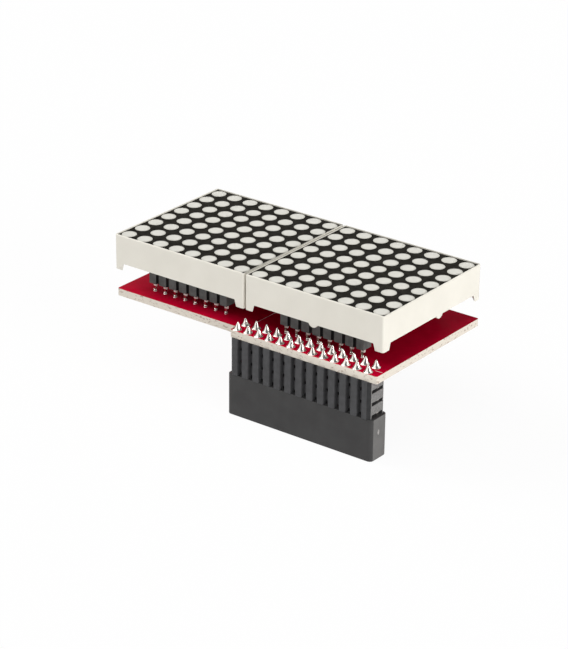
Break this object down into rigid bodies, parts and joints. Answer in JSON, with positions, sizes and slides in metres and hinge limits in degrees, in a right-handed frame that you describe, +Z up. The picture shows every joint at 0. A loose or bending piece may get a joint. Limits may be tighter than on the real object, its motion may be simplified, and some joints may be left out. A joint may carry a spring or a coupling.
{
  "type": "plug-in led dot matrix board",
  "caption": "Side-by-side square LED dot matrix displays on a circuit board that plugs onto a double-row pin header.",
  "frame": {"origin": "middle of the socket block's bottom face, where it seats on the host header's plastic", "axes": "+X along the row of displays and the header, +Y back from the header tab over the board, +Z up, out of the display faces"},
  "size_m": [0.0642, 0.0341, 0.029],
  "materials": {
    "housing_plastic": "smooth moulded, satin",
    "face_black": "matt print",
    "dot_resin": "milky, slightly glossy",
    "potting_resin": "cast resin",
    "led_laminate": "glass laminate",
    "tinned_pin": "tinned",
    "plated_contact": "plated",
    "strip_plastic": "moulded, matt",
    "spacer_plastic": "moulded, matt",
    "socket_plastic": "moulded, fine grain",
    "board_mask": "red solder mask over glass laminate",
    "solder": "bright solder",
    "chip_plastic": "moulded, matt",
    "capacitor_ceramic": "bare ceramic",
    "resistor_ceramic": "glazed top"
  },
  "bodies": {
    "root": {"chip_capacitor": "capacitor_ceramic", "chip_resistors": "resistor_ceramic", "circuit_board": "board_mask", "driver_chip": "chip_plastic", "driver_leads": "tinned_pin", "header_pins": "plated_contact", "header_socket": "socket_plastic", "header_solder": "solder", "header_spacer_1": "spacer_plastic", "header_spacer_2": "spacer_plastic", "header_spacer_3": "spacer_plastic", "left_display_dots": "dot_resin", "left_display_face": "face_black", "left_display_housing": "housing_plastic", "left_display_resin": "potting_resin", "left_front_display_pins": "tinned_pin", "left_front_socket_strip": "strip_plastic", "left_front_strip_contacts": "plated_contact", "left_led_board": "led_laminate", "left_rear_display_pins": "tinned_pin", "left_rear_socket_strip": "strip_plastic", "left_rear_strip_contacts": "plated_contact", "right_display_dots": "dot_resin", "right_display_face": "face_black", "right_display_housing": "housing_plastic", "right_display_resin": "potting_resin", "right_front_display_pins": "tinned_pin", "right_front_socket_strip": "strip_plastic", "right_front_strip_contacts": "plated_contact", "right_led_board": "led_laminate", "right_rear_display_pins": "tinned_pin", "right_rear_socket_strip": "strip_plastic", "right_rear_strip_contacts": "plated_contact"}
  },
  "joints": []
}
